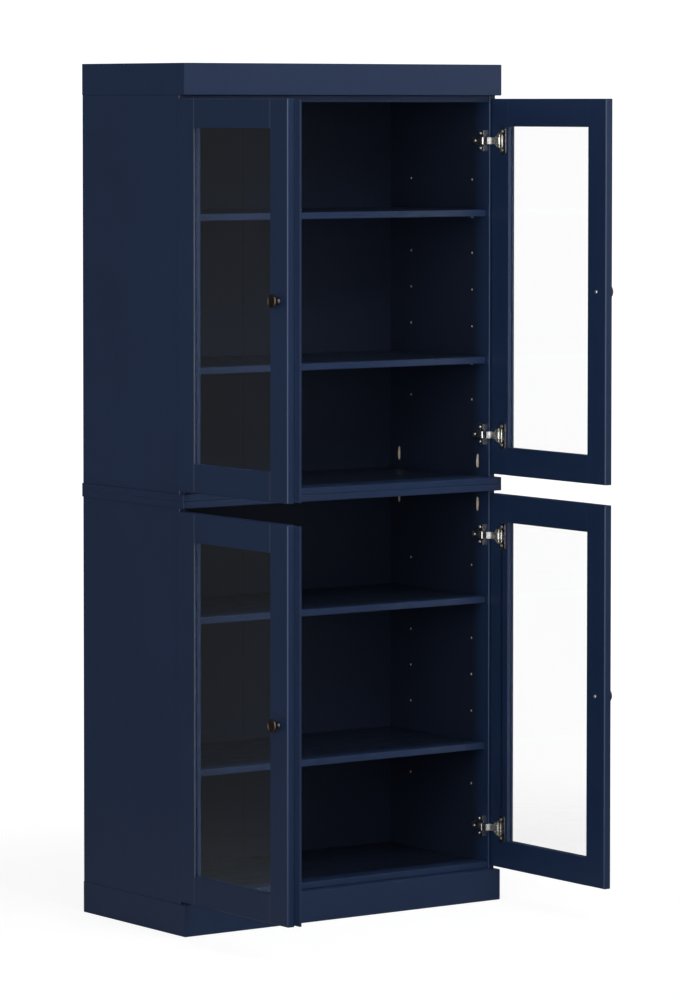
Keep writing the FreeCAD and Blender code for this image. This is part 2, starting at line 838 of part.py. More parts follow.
def meeting_lath(label, base):
    """A flat lath that covers the gap between two closed doors, stepped where the other door meets it."""
    body = new_body(label)
    top = door_inner - s.lath_thickness
    lap = door_free_edge + s.lath_lap
    end = door_free_edge - s.lath_reach
    section = polygon(body, label + "_section", "XY_Plane", [
        (top, lap), (door_inner, lap), (door_inner, door_free_edge),
        (door_inner - s.lath_step, door_free_edge), (door_inner - s.lath_step, end), (top, end)])
    pad(body, label + "_strip", section, door_height - s.lath_end_gap * 2)
    return place(body, z=base + s.lath_end_gap)


# Hinge pieces that ride with a door: made once, about the cup's centre on the door's inner face
def hinge_cup():
    """The pressed cup and the winged flange that screws to the stile."""
    body = new_body("hinge_cup")
    radius = s.cup_radius
    inner = radius - s.cup_wall
    lip = s.flange_thickness
    shell = rings(body, "hinge_cup_shell", "YZ_Plane", [(ZERO, ZERO)], radius, ZERO, CUP_SIDES)
    pad(body, "hinge_cup_shell_pad", shell, s.cup_depth)
    brim = rings(body, "hinge_cup_brim", "YZ_Plane", [(ZERO, ZERO)], radius + s.cup_wall, ZERO, CUP_SIDES)
    pad(body, "hinge_cup_brim_pad", brim, lip, reverse=True)
    near = -s.flange_near
    far = -s.flange_far
    reach = s.flange_half_height
    corner = s.flange_corner
    wing = polygon(body, "hinge_cup_wing", "YZ_Plane", [
        (far, -reach), (near - corner, -reach), (near, corner - reach),
        (near, reach - corner), (near - corner, reach), (far, reach)])
    flange = pad(body, "hinge_cup_flange", wing, lip, reverse=True)
    doc.recompute()
    bevel = body.newObject("PartDesign::Chamfer", "hinge_cup_bevel")
    far_edges = [f"Edge{number}" for number, edge in enumerate(flange.Shape.Edges, start=1)
                 if along(edge, AXIS_Z) and at(edge, AXIS_Y, far.number) and at(edge, AXIS_X, -lip.number)]
    bevel.Base = (flange, far_edges)
    bind(bevel, "Size", s.flange_bevel)
    mouth = rings(body, "hinge_cup_mouth", "YZ_Plane", [(ZERO, ZERO)], inner, -lip, CUP_SIDES)
    pocket(body, "hinge_cup_opening", mouth, s.cup_depth - s.cup_wall + lip, reverse=True)
    places = [(-s.flange_screw_offset, s.flange_screw_rise * sense) for sense in (-1, 1)]
    holes = rings(body, "hinge_cup_holes", "YZ_Plane", places,
                  clear_of(s.flange_screw_radius + s.screw_fit), -lip)
    pocket(body, "hinge_cup_screw_holes", holes, lip, reverse=True)
    return body


MITRED = 2


def knuckle_prism(centre, radius, tall):
    """An upright six-sided prism about a centre."""
    corners = []
    for number in range(FEW_SIDES + 1):
        turn = math.pi * (2 * number + 1) / FEW_SIDES
        corners.append(centre + Vector(radius * math.cos(turn), radius * math.sin(turn), 0))
    return Part.Face(Part.makePolygon(corners)).extrude(tall)


def hinge_strap():
    """The bent link of a hinge: from the knuckles in the cup, over the door's edge, under the arm."""
    points = [Vector(-s.strap_tip_rise.number, s.strap_tip_run.number, 0),
              Vector(-s.strap_knee_rise.number, s.strap_knee_run.number, 0),
              Vector(-s.strap_ankle_rise.number, s.strap_ankle_run.number, 0),
              Vector(s.cup_pin_depth.number - s.knuckle_radius.number, s.cup_pin_near.number, 0)]
    path = Part.makePolygon(points)
    band = Part.Face(path.makeOffset2D(s.strap_thickness.number / 2, MITRED))
    low = Vector(0, 0, -s.strap_half_height.number)
    tall = Vector(0, 0, s.strap_half_height.number * 2)
    shape = band.extrude(tall)
    shape.translate(low)
    near = Vector(s.cup_pin_depth.number, s.cup_pin_near.number, 0)
    far = Vector(s.cup_pin_depth.number, -s.cup_pin_far.number, 0)
    radius = s.knuckle_radius.number
    for centre in (near, far):
        shape = shape.fuse(knuckle_prism(centre + low, radius, tall))
    web = Part.makeBox(s.strap_thickness.number, near.y - far.y, tall.z,
                       Vector(near.x - s.strap_thickness.number / 2, far.y, low.z))
    shape = shape.fuse(web)
    bore = s.cup_pin_radius.number + s.cup_pin_fit.number
    for centre in (near, far):
        shape = shape.cut(knuckle_prism(centre + low, clear_of(bore), tall))
    feature = doc.addObject("Part::Feature", "hinge_strap")
    feature.Shape = shape.removeSplitter()
    return feature


def cup_pin(label, y):
    """A pin that crosses the cup from wall to wall through one knuckle."""
    peg = doc.addObject("Part::Prism", label)
    peg.Polygon = FEW_SIDES
    chord = f"sqrt(({s.cup_radius.text} - {s.cup_wall.text})^2 - ({y.text})^2)"
    half = f"({chord} - {s.cup_pin_radius.text} - {s.cup_pin_end_gap.text})"
    bind(peg, "Circumradius", s.cup_pin_radius)
    peg.setExpression("Height", f"2 * {half}")
    bind(peg, "Placement.Base.x", s.cup_pin_depth)
    bind(peg, "Placement.Base.y", y)
    peg.setExpression("Placement.Base.z", f"-1 * {half}")
    return peg


cup_master = hinge_cup()
strap_master = hinge_strap()
near_pin_master = cup_pin("cup_pin_near", s.cup_pin_near)
far_pin_master = cup_pin("cup_pin_far", -s.cup_pin_far)
flange_screw_master = screw_body("flange_screw", s.flange_screw_head_radius, s.flange_screw_head_height,
                                 s.flange_screw_radius, s.flange_screw_length + s.flange_thickness)
knob_screw_master = screw_body("knob_screw", s.knob_screw_head_radius, s.knob_screw_head_height,
                               s.knob_screw_radius, s.door_thickness + s.knob_screw_grip)


def cups(label, base):
    """Both hinge cups of a door, with the straps and pins that they carry."""
    members = []
    for rise in hinge_rises:
        for master in (cup_master, strap_master, near_pin_master, far_pin_master):
            members.append(copy_at(master, label + "_copy", door_inner, cup_y, base + rise))
    for link in members:
        link.LinkTransform = True
    return group(label, members)


def door_screws(label, base):
    """The flange screws of both hinges and the knob's own screw."""
    members = [copy_at(knob_screw_master, label + "_knob", door_inner, knob_y, base + knob_z)]
    for rise in hinge_rises:
        for sense in (-1, 1):
            members.append(copy_at(flange_screw_master, label + "_flange", door_inner - s.flange_thickness,
                                   cup_y - s.flange_screw_offset, base + rise + s.flange_screw_rise * sense))
    return group(label, members)


DOOR_PARTS = {
    "hinge_stile": hinge_stile,
    "free_stile": free_stile,
    "top_rail": lambda label, base: rail(label, base, 1),
    "bottom_rail": lambda label, base: rail(label, base, -1),
    "glass": pane,
    "knob": knob,
    "hinge_cups": cups,
    "screws": door_screws,
}
for level, base in (("lower", lower_door_base), ("upper", lower_door_base + level_rise)):
    for part, make in DOOR_PARTS.items():
        right = keep(make(f"{level}_right_door_{part}", base))
        keep(mirrored(right, f"{level}_left_door_{part}"))
    lath = meeting_lath(f"{level}_right_hand_lath", base)
    keep(mirrored(lath, f"{level}_left_door_meeting_lath"))


# Hinge pieces fixed to the sides: made once, about the side's inner front corner
def hinge_plate():
    """A cross-shaped plate whose two thick wings take the wood screws."""
    body = new_body("hinge_plate")
    front = s.plate_front
    back = front + s.plate_length
    wing_back = front + s.wing_length
    half = s.plate_half_height
    recess = front + s.plate_recess
    outline = polygon(body, "hinge_plate_outline", "YZ_Plane", [
        (front, -s.wing_outer), (wing_back, -s.wing_outer), (wing_back, -half), (back, -half),
        (back, half), (wing_back, half), (wing_back, s.wing_outer), (front, s.wing_outer),
        (front, half), (recess, half), (recess, -half), (front, -half)])
    pad(body, "hinge_plate_base", outline, s.plate_thickness, reverse=True)
    for name, low, high in (("low", -s.wing_outer, -s.wing_inner), ("high", s.wing_inner, s.wing_outer)):
        wing = polygon(body, f"hinge_plate_wing_{name}", "YZ_Plane",
                       rectangle(front, low, wing_back, high))
        pad(body, f"hinge_plate_wing_{name}_pad", wing, s.wing_rise, reverse=True)
    screw_y = front + s.wing_screw_setback
    holes = rings(body, "hinge_plate_holes", "YZ_Plane",
                  [(screw_y, -s.wing_screw_half_gap), (screw_y, s.wing_screw_half_gap)],
                  clear_of(s.wing_screw_radius + s.screw_fit))
    pocket(body, "hinge_plate_bores", holes, s.wing_rise)
    hole = rings(body, "hinge_plate_arm_hole", "YZ_Plane",
                 [(s.arm_front + s.arm_screw_setback, ZERO)], clear_of(s.arm_screw_radius + s.screw_fit))
    pocket(body, "hinge_plate_arm_bore", hole, s.plate_thickness)
    return body


def hinge_arm():
    """A pressed channel: web with a rolled nose, and two cheeks that stand on the plate."""
    body = new_body("hinge_arm")
    top = -(s.arm_rise + s.arm_thickness)
    under = -s.arm_rise
    nose_y = s.arm_front + s.arm_nose_radius
    back = s.arm_front + s.arm_length
    web = polygon(body, "hinge_arm_web", "XY_Plane", rectangle(top, nose_y, under, back),
                  -s.arm_half_height)
    pad(body, "hinge_arm_web_pad", web, s.arm_half_height * 2)
    nose = rings(body, "hinge_arm_nose", "XY_Plane",
                 [(under - s.arm_nose_radius, nose_y)], s.arm_nose_radius, -s.arm_half_height, NOSE_SIDES)
    pad(body, "hinge_arm_nose_pad", nose, s.arm_half_height * 2)
    for name, low in (("low", -s.arm_half_height), ("high", s.arm_half_height - s.arm_thickness)):
        cheek = polygon(body, f"hinge_arm_cheek_{name}", "XY_Plane", [
            (under, s.arm_cheek_start), (-s.plate_thickness, s.arm_cheek_start + s.arm_thickness),
            (-s.plate_thickness, back), (under, back)], low)
        pad(body, f"hinge_arm_cheek_{name}_pad", cheek, s.arm_thickness)
    hole = rings(body, "hinge_arm_hole", "YZ_Plane",
                 [(s.arm_front + s.arm_screw_setback, ZERO)],
                 clear_of(s.arm_screw_radius + s.screw_fit), -s.arm_rise)
    pocket(body, "hinge_arm_bore", hole, s.arm_thickness)
    return body


plate_master = hinge_plate()
arm_master = hinge_arm()
wing_screw_master = screw_body("wing_screw", s.wing_screw_head_radius, s.wing_screw_head_height,
                               s.wing_screw_radius, s.wing_screw_length)
arm_screw_master = screw_body("arm_screw", s.arm_screw_head_radius, s.arm_screw_head_height,
                              s.arm_screw_radius, s.arm_rise + s.arm_thickness - s.plate_thickness / 2)


def at_each_hinge(label, members):
    """Copies of pieces at every right-hand hinge, and their mirror images on the left."""
    copies = []
    for base in (lower_door_base, lower_door_base + level_rise):
        for rise in hinge_rises:
            for master, x, y, z in members:
                copies.append(copy_at(master, label + "_copy", side_inner + x, side_front + y,
                                      base + rise + z))
    right = group("right_" + label, copies)
    return group(label, [right, mirrored(right, "left_" + label)])


wing_screw_y = s.plate_front + s.wing_screw_setback
keep(at_each_hinge("hinge_plates", [(plate_master, ZERO, ZERO, ZERO)]))
keep(at_each_hinge("hinge_arms", [(arm_master, ZERO, ZERO, ZERO)]))
hinge_screws = at_each_hinge("hinge_screws", [
    (wing_screw_master, -s.wing_rise, wing_screw_y, -s.wing_screw_half_gap),
    (wing_screw_master, -s.wing_rise, wing_screw_y, s.wing_screw_half_gap),
    (arm_screw_master, -(s.arm_rise + s.arm_thickness), s.arm_front + s.arm_screw_setback, ZERO)])
keep(group("cabinet_screws", [pocket_screws, hinge_screws]))

# Every object has to be sound before any piece is written
doc.recompute()
faults = []
for thing in doc.Objects:
    if "Invalid" in thing.State or "Error" in thing.State:
        faults.append(f"{thing.Name}: {thing.State}")
for piece in pieces:
    if piece.Shape.isNull() or not piece.Shape.isValid() or not piece.Shape.Solids:
        faults.append(f"{piece.Label}: no sound shape")
for cut in cuts:
    if cut.Shape.Volume >= cut.BaseFeature.Shape.Volume:
        faults.append(f"{cut.Name}: removes nothing")
if faults:
    raise RuntimeError("; ".join(faults))

os.makedirs("parts", exist_ok=True)
for piece in pieces:
    piece.Shape.exportStep(f"parts/{piece.Label}.step")
print(len(pieces), "pieces written")
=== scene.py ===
"""Looks of the bookcase with doors: paint, glass, metal, small fittings, studio and camera.

Sizes of pieces, and of marks on them, are in mm. Sizes of the studio are in metres.
"""

import math

import bmesh
import bpy
from mathutils import Matrix, Vector
from mathutils.geometry import tessellate_polygon


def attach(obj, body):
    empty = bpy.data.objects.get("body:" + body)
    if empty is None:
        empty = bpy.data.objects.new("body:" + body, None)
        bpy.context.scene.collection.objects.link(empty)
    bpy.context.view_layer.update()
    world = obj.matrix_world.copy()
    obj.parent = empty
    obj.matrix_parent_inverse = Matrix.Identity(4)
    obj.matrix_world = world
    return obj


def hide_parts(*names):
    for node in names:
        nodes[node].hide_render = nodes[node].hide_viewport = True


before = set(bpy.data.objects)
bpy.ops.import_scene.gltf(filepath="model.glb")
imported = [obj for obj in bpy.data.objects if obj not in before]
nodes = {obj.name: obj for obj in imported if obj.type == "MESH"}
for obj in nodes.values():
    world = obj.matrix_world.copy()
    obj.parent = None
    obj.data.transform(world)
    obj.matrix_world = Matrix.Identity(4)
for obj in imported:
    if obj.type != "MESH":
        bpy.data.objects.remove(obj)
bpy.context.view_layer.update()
MM = 0.001


def extent(name, axis):
    """The lowest and highest place of a CAD node along x, y or z."""
    places = [getattr(vertex.co, axis) / MM for vertex in nodes[name].data.vertices]
    return round(min(places), 3), round(max(places), 3)


def middle(name, axis):
    return sum(extent(name, axis)) / 2


# Places on the right-hand half, read from the frame; the left-hand half mirrors it
SIDE_INNER = extent("lower_right_side", "x")[0]
LOWER_SIDE_TOP = extent("lower_right_side", "z")[1]
UPPER_SIDE_FOOT = extent("upper_right_side", "z")[0]
BACK_MIDDLE = middle("lower_back_panel", "y")
BOTTOM_MIDDLE = middle("lower_bottom_panel", "z")
TOP_MIDDLE = middle("upper_top_panel", "z")
PINS_FRONT, PINS_BACK = extent("shelf_pins", "y")
DOOR_INNER, DOOR_OUTER = extent("lower_right_door_hinge_stile", "x")
OPENING_NEAR = extent("lower_right_door_hinge_stile", "y")[0]
OPENING_FAR = extent("lower_right_door_free_stile", "y")[1]
DOOR_BASES = {level: extent(level + "_right_door_hinge_stile", "z")[0] for level in ("lower", "upper")}
KNOB_Y = middle("lower_right_door_knob", "y")
KNOB_RISE = middle("lower_right_door_knob", "z") - DOOR_BASES["lower"]


# Node helpers
WHITE = (1, 1, 1, 1)
NOISE_RANGE = (0.3, 0.7)
TONE_SPREAD = 0.07


def add(tree, kind, sockets=None, **settings):
    """A node with its own settings and the values of its sockets."""
    node = tree.nodes.new(kind)
    for key, value in settings.items():
        setattr(node, key, value)
    for key, value in (sockets or {}).items():
        node.inputs[key].default_value = value
    return node


def start_material(name):
    """A new material with its tree, shader and object coordinates."""
    material = bpy.data.materials.new(name)
    material.use_nodes = True
    tree = material.node_tree
    place = add(tree, "ShaderNodeTexCoord").outputs["Object"]
    return material, tree, tree.nodes["Principled BSDF"], place


def scaled(colour, share):
    return tuple(c * share for c in colour)


def close_tones(colour):
    """A darker and a lighter tone of one colour."""
    return scaled(colour, 1 - TONE_SPREAD), scaled(colour, 1 + TONE_SPREAD)


def mottled(tree, factor, tones):
    """Two tones blended along a noise factor."""
    node = tree.nodes.new("ShaderNodeValToRGB")
    for element, place, tone in zip(node.color_ramp.elements, NOISE_RANGE, tones):
        element.position = place
        element.color = (*tone, 1)
    tree.links.new(factor, node.inputs["Fac"])
    return node.outputs["Color"]


def remap(tree, value, source=(0, 1), target=(0, 1), smooth=False):
    """A value carried from one range to another."""
    node = add(tree, "ShaderNodeMapRange", {"From Min": source[0], "From Max": source[1],
                                            "To Min": target[0], "To Max": target[1]})
    if smooth:
        node.interpolation_type = "SMOOTHSTEP"
    tree.links.new(value, node.inputs["Value"])
    return node.outputs["Result"]


def noise(tree, place, scale, detail=2.0, roughness=0.5, stretch=None):
    if stretch:
        mapping = add(tree, "ShaderNodeMapping", {"Scale": stretch})
        tree.links.new(place, mapping.inputs["Vector"])
        place = mapping.outputs["Vector"]
    node = add(tree, "ShaderNodeTexNoise", {"Scale": scale, "Detail": detail, "Roughness": roughness})
    tree.links.new(place, node.inputs["Vector"])
    return node.outputs["Fac"]


def bump(tree, height, strength, distance, before=None):
    node = add(tree, "ShaderNodeBump", {"Strength": strength, "Distance": distance})
    tree.links.new(height, node.inputs["Height"])
    if before:
        tree.links.new(before, node.inputs["Normal"])
    return node.outputs["Normal"]


def blend(tree, factor, first, second):
    mix = add(tree, "ShaderNodeMix", data_type="RGBA")
    tree.links.new(factor, mix.inputs["Factor"])
    tree.links.new(first, mix.inputs[6])
    tree.links.new(second, mix.inputs[7])
    return mix.outputs[2]


def axes(tree, place):
    """The x, y and z of a place."""
    parts = add(tree, "ShaderNodeSeparateXYZ")
    tree.links.new(place, parts.inputs["Vector"])
    return parts.outputs["X"], parts.outputs["Y"], parts.outputs["Z"]


def unsigned(tree, value):
    node = add(tree, "ShaderNodeMath", operation="ABSOLUTE")
    tree.links.new(value, node.inputs[0])
    return node.outputs["Value"]


def between(tree, value, low, high):
    """1 where a coordinate lies from low to high."""
    centre = (low + high) / 2 * MM
    reach = (high - low) / 2 * MM
    node = add(tree, "ShaderNodeMath", {1: centre, 2: reach}, operation="COMPARE")
    tree.links.new(value, node.inputs[0])
    return node.outputs["Value"]


def joined(tree, first, second, operation):
    node = add(tree, "ShaderNodeMath", operation=operation)
    tree.links.new(first, node.inputs[0])
    tree.links.new(second, node.inputs[1])
    return node.outputs["Value"]


def either(tree, first, second):
    return joined(tree, first, second, "MAXIMUM")


def both(tree, first, second):
    return joined(tree, first, second, "MULTIPLY")


# Where the paint differs: inside the cases as painted shade, in bores and pockets, at joints, and at arrises
# as painted highlights
INSIDE_MARGIN = 0.1
INSIDE_DEPTH = (24, 75)
BORE_DEPTHS = (0.2, 10.2)
PIN_HALF_WIDTH = 4.5
PIN_HOLE_REACH = 3.3
POCKET_COLUMNS = (50.7, 348.7)
POCKET_REACH = 5.6
BACK_JOINT_REACH = 0.9
BEAD_DEPTHS = (11.5, 1.5)
BEAD_OVERRUN = 0.7
ARRIS_INSIDE, ARRIS_OUTSIDE = 2.7, 0.5


def inside_shade_mask(tree, place):
    """How far a point lies within the cases, where the paint is darkened as painted shade and its sheen
    lowered.
    """
    x, y, z = axes(tree, place)
    half_width = SIDE_INNER + INSIDE_MARGIN
    front, deep = INSIDE_DEPTH
    width = between(tree, x, -half_width, half_width)
    depth = remap(tree, y, (front * MM, deep * MM), smooth=True)
    before_back = between(tree, y, front, BACK_MIDDLE)
    rise = between(tree, z, BOTTOM_MIDDLE, TOP_MIDDLE)
    return both(tree, both(tree, width, depth), both(tree, before_back, rise))


def bore_mask(tree, place):
    """The walls of the pin holes and slanted pockets, which the paint doesn't reach."""
    x, y, z = axes(tree, place)
    shallow, deep = BORE_DEPTHS
    depth = between(tree, unsigned(tree, x), SIDE_INNER + shallow, SIDE_INNER + deep)
    pins = [(column, PIN_HOLE_REACH) for column in (PINS_FRONT + PIN_HALF_WIDTH, PINS_BACK - PIN_HALF_WIDTH)]
    pockets = [(column, POCKET_REACH) for column in POCKET_COLUMNS]
    strips = [between(tree, y, column - reach, column + reach) for column, reach in pins + pockets]
    found = strips[0]
    for strip in strips[1:]:
        found = either(tree, found, strip)
    return both(tree, depth, found)


def back_joint_mask(tree, place):
    """The upright joint in the middle of a back sheet."""
    x, y, z = axes(tree, place)
    return between(tree, x, -BACK_JOINT_REACH, BACK_JOINT_REACH)


def bead_mask(tree, place):
    """The outer half of the stiles' edges by the glass, in the shadow of its bead."""
    x, y, z = axes(tree, place)
    deep, shallow = BEAD_DEPTHS
    thick = between(tree, unsigned(tree, x), DOOR_OUTER - deep, DOOR_OUTER - shallow)
    across = between(tree, y, OPENING_FAR - BEAD_OVERRUN, OPENING_NEAR + BEAD_OVERRUN)
    return both(tree, thick, across)


def painted_highlight_mask(tree, place, corner):
    """A painted highlight along an outside arris of the door joints that faces the front; corner is its y."""
    x, y, z = axes(tree, place)
    face = between(tree, unsigned(tree, x), DOOR_OUTER - ARRIS_INSIDE, DOOR_OUTER + ARRIS_OUTSIDE)
    return both(tree, face, between(tree, y, corner - ARRIS_OUTSIDE, corner + ARRIS_INSIDE))


# Paint: satin navy over close-grained boards, whose grain runs up, across or into the cases
GRAIN = {"upright": (14, 14, 1), "across": (1, 14, 14), "deep": (14, 1, 14)}
NAVY = (0.0140, 0.0332, 0.0905)
# Painted shade: a darker navy inside the cases, darker again on the boards that run across, such as the
# shelves
SHADED_INSIDE_NAVY = (0.0125, 0.0192, 0.0400)
INNER_SHADE_ACROSS = 0.55
# A lighter navy painted on one arris of the door joints as a highlight
HIGHLIGHT_NAVY = (0.046, 0.066, 0.114)
BEAD_SHADOW = (scaled(NAVY, 0.36), scaled(NAVY, 0.46))
JOINT_SHADOW = ((0.0010, 0.0016, 0.0030), (0.0016, 0.0026, 0.0048))
RAW_WOOD = ((0.82, 0.72, 0.56), (0.94, 0.86, 0.70))
PAINT_ROUGHNESS = (0.34, 0.42)
SHEEN = (0.5, 0.2)


def paint(name, grain, patch=None, patch_tones=RAW_WOOD, inner_shade=1.0, arris=None):
    """Satin paint, darkened inside the cases as painted shade; patch is a mask with tones of its own, arris
    the y of a door corner that gets a painted highlight.
    """
    material, tree, shader, place = start_material(name)
    broad = noise(tree, place, scale=3.0, detail=3.0)
    inside = inside_shade_mask(tree, place)
    outer = mottled(tree, broad, close_tones(NAVY))
    inner = mottled(tree, broad, close_tones(scaled(SHADED_INSIDE_NAVY, inner_shade)))
    # Painted shade: the darker inside tone takes over deeper within the cases
    tone = blend(tree, inside, outer, inner)
    if patch:
        wood = noise(tree, place, scale=90.0, detail=3.0, stretch=(4, 4, 1))
        tone = blend(tree, patch(tree, place), tone, mottled(tree, wood, patch_tones))
    # Painted highlight: a lighter navy along one arris of the door joints
    if arris:
        highlight_tone = mottled(tree, broad, close_tones(HIGHLIGHT_NAVY))
        tone = blend(tree, painted_highlight_mask(tree, place, arris), tone, highlight_tone)
    tree.links.new(tone, shader.inputs["Base Color"])
    tree.links.new(remap(tree, inside, target=SHEEN), shader.inputs["Specular IOR Level"])
    cloud = noise(tree, place, scale=26.0, detail=4.0)
    tree.links.new(remap(tree, cloud, NOISE_RANGE, PAINT_ROUGHNESS), shader.inputs["Roughness"])
    fibres = noise(tree, place, scale=55.0, detail=4.0, roughness=0.6, stretch=GRAIN[grain])
    peel = noise(tree, place, scale=620.0, detail=1.0)
    grained = bump(tree, fibres, strength=0.10, distance=0.0004)
    tree.links.new(bump(tree, peel, strength=0.05, distance=0.0002, before=grained), shader.inputs["Normal"])
    return material


# Metals, as a darker and a lighter tone
NICKEL = ((0.34, 0.33, 0.29), (0.50, 0.49, 0.44))
ARM_NICKEL = ((0.28, 0.27, 0.24), (0.42, 0.41, 0.37))
ARM_END_HIGHLIGHT = ((0.78, 0.77, 0.74), (0.90, 0.89, 0.86))
BRIGHT_NICKEL = ((0.80, 0.79, 0.76), (0.92, 0.91, 0.88))
ZINC = ((0.60, 0.59, 0.57), (0.78, 0.77, 0.75))
BRONZE = ((0.060, 0.048, 0.040), (0.120, 0.096, 0.078))
# The hinge arms' front ends, from and to these y, get lighter tones as a painted highlight against the arms'
# darker nickel
ARM_END = (9.5, 26.5)


def metal(name, tones, roughness, scale=90.0, metallic=1.0, end_highlight_tones=None):
    """Lightly mottled metal; the last argument gives the lighter tones painted on the hinge arms' front ends
    as a highlight.
    """
    material, tree, shader, place = start_material(name)
    cloud = noise(tree, place, scale=scale, detail=4.0, roughness=0.6)
    tone = mottled(tree, cloud, tones)
    # Painted highlight on the arms' front ends
    if end_highlight_tones:
        x, y, z = axes(tree, place)
        tone = blend(tree, between(tree, y, *ARM_END), tone, mottled(tree, cloud, end_highlight_tones))
    tree.links.new(tone, shader.inputs["Base Color"])
    tree.links.new(remap(tree, cloud, NOISE_RANGE, roughness), shader.inputs["Roughness"])
    shader.inputs["Metallic"].default_value = metallic
    fine = noise(tree, place, scale=1500.0, detail=2.0, stretch=(1, 1, 6))
    tree.links.new(bump(tree, fine, strength=0.12, distance=0.0001), shader.inputs["Normal"])
    return material


GLASS_TINT = ((0.968, 0.984, 0.990), (0.976, 0.990, 0.995))
GLASS_ROUGHNESS = (0.0, 0.012)
GLASS_IOR = 1.5
GLASS_MIRROR_TINT = (0.74, 0.86, 1.0, 1.0)


def clear_glass():
    material, tree, shader, place = start_material("pane_glass")
    broad = noise(tree, place, scale=4.0, detail=1.0)
    tree.links.new(mottled(tree, broad, GLASS_TINT), shader.inputs["Base Color"])
    tree.links.new(remap(tree, broad, NOISE_RANGE, GLASS_ROUGHNESS), shader.inputs["Roughness"])
    shader.inputs["Transmission Weight"].default_value = 1.0
    shader.inputs["IOR"].default_value = GLASS_IOR
    shader.inputs["Specular Tint"].default_value = GLASS_MIRROR_TINT
    return material


materials = {
    "upright": paint("navy_paint_upright", "upright"),
    "across": paint("navy_paint_across", "across", inner_shade=INNER_SHADE_ACROSS),
    "deep": paint("navy_paint_deep", "deep"),
    "side": paint("navy_paint_side", "upright", bore_mask),
    "back": paint("navy_paint_back", "upright", back_joint_mask, JOINT_SHADOW),
    "stile": paint("navy_paint_stile", "upright", bead_mask, BEAD_SHADOW, arris=OPENING_NEAR),
    "rail": paint("navy_paint_rail", "deep", arris=OPENING_FAR),
    "nickel": metal("nickel_steel", NICKEL, roughness=(0.20, 0.32)),
    "arm": metal("nickel_arm", ARM_NICKEL, roughness=(0.22, 0.34), end_highlight_tones=ARM_END_HIGHLIGHT),
    "bright": metal("bright_nickel", BRIGHT_NICKEL, roughness=(0.20, 0.32), metallic=0.85),
    "zinc": metal("zinc_steel", ZINC, roughness=(0.24, 0.36), metallic=0.9),
    "bronze": metal("aged_bronze", BRONZE, roughness=(0.26, 0.38), scale=60.0),
    "glass": clear_glass(),
}
SLOTS = {
    **dict.fromkeys(("upright", "across", "deep", "side", "back", "stile", "rail"), "navy_painted_wood"),
    **dict.fromkeys(("nickel", "arm", "bright"), "nickel_steel"),
    "zinc": "zinc_steel",
    "bronze": "aged_bronze",
    "glass": "clear_glass",
}

# What the CAD nodes wear, by how their names end; the others are boards that run across
FINISHES = {
    "_glass": "glass", "_knob": "bronze", "_screws": "zinc", "shelf_pins": "zinc",
    "hinge_arms": "arm", "hinge_plates": "nickel", "_hinge_cups": "nickel",
    "_side": "side", "_back_panel": "back", "_stile": "stile", "_lath": "upright",
    "_top_rail": "rail", "_bottom_rail": "rail",
    "plinth_left": "deep", "plinth_right": "deep", "crown_left": "deep", "crown_right": "deep",
}
BEVELS = {
    "upright": 1.1, "across": 0.9, "deep": 0.7, "rail": 2.4, "side": 2.0, "stile": 2.4, "back": 0.3,
    "glass": 0.4, "nickel": 0.25, "arm": 0.25, "bright": 0.3, "zinc": 0.2, "bronze": 0.4,
}
LONG_EDGED = ("across", "deep", "rail", "side", "stile")
LONG_EDGE = 12
SAME_SPOT_DIGITS = 5
SHARP = math.radians(28)
MITRE = math.radians(110)
FLAT = math.radians(0.5)
WELD_REACH = 0.01
BOARD_SEGMENTS, FITTING_SEGMENTS = 3, 2


def finish_for(name):
    for ending, finish in FINISHES.items():
        if name.endswith(ending):
            return finish
    return "across"


def mark_long_edges(piece):
    """Bevel weights on long sharp edges, so that small details don't hold the bevel back."""
    mesh = piece.data

    def spot(ends):
        return frozenset(tuple(round(c, SAME_SPOT_DIGITS) for c in mesh.vertices[end].co) for end in ends)

    normals = {}
    for face in mesh.polygons:
        for ends in face.edge_keys:
            normals.setdefault(spot(ends), []).append(face.normal.copy())
    marks = mesh.attributes.new("bevel_weight_edge", "FLOAT", "EDGE")
    for edge in mesh.edges:
        start, end = (mesh.vertices[i].co for i in edge.vertices)
        found = normals[spot(edge.vertices)]
        sharp = any(SHARP < found[0].angle(other) < MITRE for other in found[1:])
        if sharp and (end - start).length > LONG_EDGE * MM:
            marks.data[edge.index].value = 1.0


def ease_edges(piece, width, segments, limit, angle):
    bevel = piece.modifiers.new("eased_edges", "BEVEL")
    bevel.width = width * MM
    bevel.segments = segments
    bevel.limit_method = limit
    bevel.angle_limit = angle


def ease_node(node, finish):
    """A CAD node's triangles joined into flat faces again, and its sharp edges eased."""
    weld = node.modifiers.new("weld", "WELD")
    weld.merge_threshold = WELD_REACH * MM
    flat = node.modifiers.new("flat_faces", "DECIMATE")
    flat.decimate_type = "DISSOLVE"
    flat.angle_limit = FLAT
    limit = "ANGLE"
    if finish in LONG_EDGED:
        mark_long_edges(node)
        limit = "WEIGHT"
    ease_edges(node, BEVELS[finish], BOARD_SEGMENTS, limit, SHARP)


def dress(piece, finish):
    piece.data.materials.clear()
    piece.data.materials.append(materials[finish])


for name, node in nodes.items():
    finish = finish_for(name)
    dress(node, finish)
    if "custom_normal" in node.data.attributes:
        node.data.attributes.remove(node.data.attributes["custom_normal"])
    for face in node.data.polygons:
        face.use_smooth = False
    ease_node(node, finish)
    if finish == "glass":
        node.visible_shadow = False


# Round pieces in place of the few-sided ones
class Form:
    """Points and faces of one piece that is being put together."""

    def __init__(self):
        self.points = []
        self.faces = []

    def add(self, points, faces, turn):
        first = len(self.points)
        self.points += [turn(Vector(point)) for point in points]
        self.faces += [[first + corner for corner in face] for face in faces]


